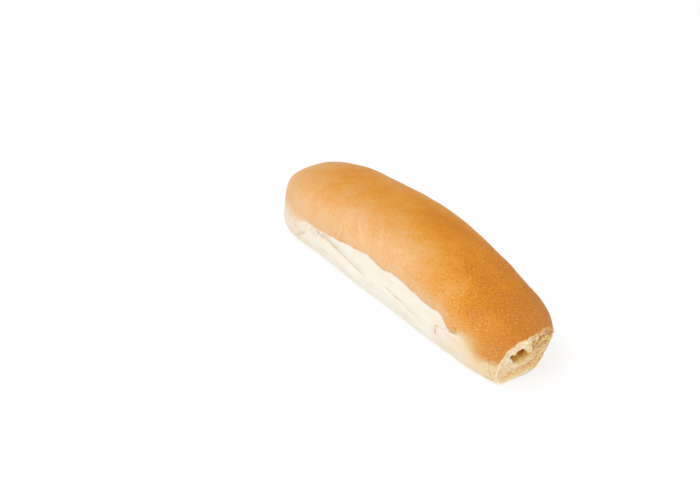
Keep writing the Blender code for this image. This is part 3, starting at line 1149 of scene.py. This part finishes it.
def crumbMaterial():
    look, at = crumbLook, crumbShares
    material, tree, shader = newMaterial("openCrumb", look["roughness"], look["specular"])
    shader.inputs["Subsurface Weight"].default_value = look["glow"]
    shader.inputs["Subsurface Scale"].default_value = look["glowReach"]
    shader.inputs["Subsurface Radius"].default_value = look["glowRadius"]
    place, numbers = objectPlace(tree)
    middle = noiseOf(tree, place, *crumbPatterns["middle"])
    small = noiseOf(tree, place, *crumbPatterns["small"])
    fine = noiseOf(tree, place, *crumbPatterns["fine"])
    wander = swing(tree, middle, look["zoneSwing"])
    across = added(tree, numbers["Y"], wander)
    up = added(tree, numbers["Z"], wander)
    colour = blend(tree, ranged(tree, small, *at["crumbWarm"]), look["crumb"], look["crumbWarm"])
    colour = blend(tree, ranged(tree, fine, *at["crumbOlive"]), colour, look["crumbOlive"])
    far = blend(tree, ranged(tree, small, *at["farDark"]), look["far"], look["farDark"])
    colour = blend(tree, ranged(tree, across, *at["far"], soft=True), colour, far)
    # darker and tan low on the cut: painted shade with some of the crumb's own tan
    low = blend(tree, ranged(tree, across, *at["lowShadeFar"]), look["lowShadeNear"], look["lowShadeFar"])
    colour = blend(tree, ranged(tree, up, *at["low"], soft=True), colour, low)
    # painted shade in the pores and cracks, weaker low down
    pores = product(tree, attribute(tree, "pit"), ranged(tree, numbers["Z"], *at["lowPores"]))
    colour = blend(tree, ranged(tree, pores, *at["pore"]), colour, look["pore"])

    toasted = added(tree, attribute(tree, "toasted"), swing(tree, fine, look["toastSwing"]))
    for name in ("mouth", "toastLight", "toastDeep", "inside"):
        colour = blend(tree, ranged(tree, toasted, *at[name]), colour, look[name])

    rim = added(tree, attribute(tree, "rimGap"), swing(tree, fine, look["rimSwing"]))
    rimColour = blend(tree, ranged(tree, numbers["Z"], *at["rimTop"]), look["rimLow"], look["rimTop"])
    rimColour = blend(tree, ranged(tree, numbers["Y"], *at["rimFar"]), rimColour, look["rimFar"])
    rimShare = ranged(tree, rim, ranged(tree, numbers["Y"], *rimWidth), *at["rim"], soft=True)
    colour = blend(tree, rimShare, colour, rimColour)
    tree.links.new(colour, shader.inputs["Base Color"])
    tree.links.new(bumpOf(tree, fine, *look["bump"]), shader.inputs["Normal"])
    return material


bun = makeBun()
bun.data.materials.append(skinMaterial())
bun.data.materials.append(crumbMaterial())
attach(bun, "root")
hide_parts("bun")
print("bun: materials on")


# floor, light and camera

white = (1.0, 1.0, 1.0, 1.0)

studio = {
    "floorSize": 6.0,
    "floorColour": (170, 170, 170),
    "floorGlow": 0.62,  # a lit table, which keeps the shadows faint
    "floorRoughness": 0.9,
    "floorSpecular": 0.1,
    "sky": 0.66,
    "lamps": (  # name, azimuth and elevation in degrees, distance, size, watts
        ("key", -5.0, 55.0, 1.6, 1.3, 11.0),
        ("fill", 62.0, 34.0, 1.6, 1.0, 4.6),
    ),
}

cameraView = {
    "azimuth": 44.04,
    "elevation": 32.06,
    "roll": 8.97,
    "distance": 1.0,
    "lens": 98.8,
    "sensor": 36.0,
    "imageSize": (700, 500),
    "aimPoint": (-2.2 * mm, 0.0, 21.3 * mm),
    "aimPixel": (410.8, 254.6),  # where the aim point stands in the picture
}


def towards(azimuth, elevation):  # from the object towards that side
    a, e = math.radians(azimuth), math.radians(elevation)
    return Vector((math.sin(a) * math.cos(e), -math.cos(a) * math.cos(e), math.sin(e)))


def addFloor():
    shape = bmesh.new()
    bmesh.ops.create_grid(shape, x_segments=1, y_segments=1, size=studio["floorSize"] / 2)
    floor = addMesh("floor", shape)
    material, tree, shader = newMaterial("paleFloor", studio["floorRoughness"], studio["floorSpecular"])
    shader.inputs["Base Color"].default_value = linear(studio["floorColour"])
    shader.inputs["Emission Color"].default_value = white
    shader.inputs["Emission Strength"].default_value = studio["floorGlow"]
    floor.data.materials.append(material)


def addLamp(name, azimuth, elevation, distance, size, watts):
    light = bpy.data.lights.new(name, "AREA")
    light.shape = "DISK"
    light.size = size
    light.energy = watts
    lamp = addObject(name, light)
    lamp.location = towards(azimuth, elevation) * distance
    lamp.rotation_euler = lamp.location.to_track_quat("Z", "Y").to_euler()


def addSky():
    world = bpy.data.worlds.new("paleStudio")
    world.use_nodes = True
    background = world.node_tree.nodes["Background"]
    background.inputs["Color"].default_value = white
    background.inputs["Strength"].default_value = studio["sky"]
    bpy.context.scene.world = world


def addCamera():
    view = cameraView
    azimuth, elevation = math.radians(view["azimuth"]), math.radians(view["elevation"])
    focal = view["lens"] / view["sensor"] * view["imageSize"][0]  # in pixels
    offX = view["aimPixel"][0] - view["imageSize"][0] / 2
    offY = view["aimPixel"][1] - view["imageSize"][1] / 2
    turn = Matrix.Rotation(azimuth, 3, "Z") @ Matrix.Rotation(math.pi / 2 - elevation, 3, "X")
    turn = turn @ Matrix.Rotation(math.radians(view["roll"]), 3, "Z")
    turn = turn @ Matrix.Rotation(math.atan(offX / focal), 3, "Y")
    turn = turn @ Matrix.Rotation(math.atan(offY / focal), 3, "X")
    data = bpy.data.cameras.new("camera")
    data.lens = view["lens"]
    data.sensor_width = view["sensor"]
    camera = addObject("camera", data)
    away = towards(view["azimuth"], view["elevation"]) * view["distance"]
    camera.location = Vector(view["aimPoint"]) + away
    camera.rotation_euler = turn.to_euler()
    bpy.context.scene.camera = camera


addFloor()
addSky()
for lamp in studio["lamps"]:
    addLamp(*lamp)
addCamera()
bpy.context.scene.view_settings.view_transform = "Standard"
print("studio ready")
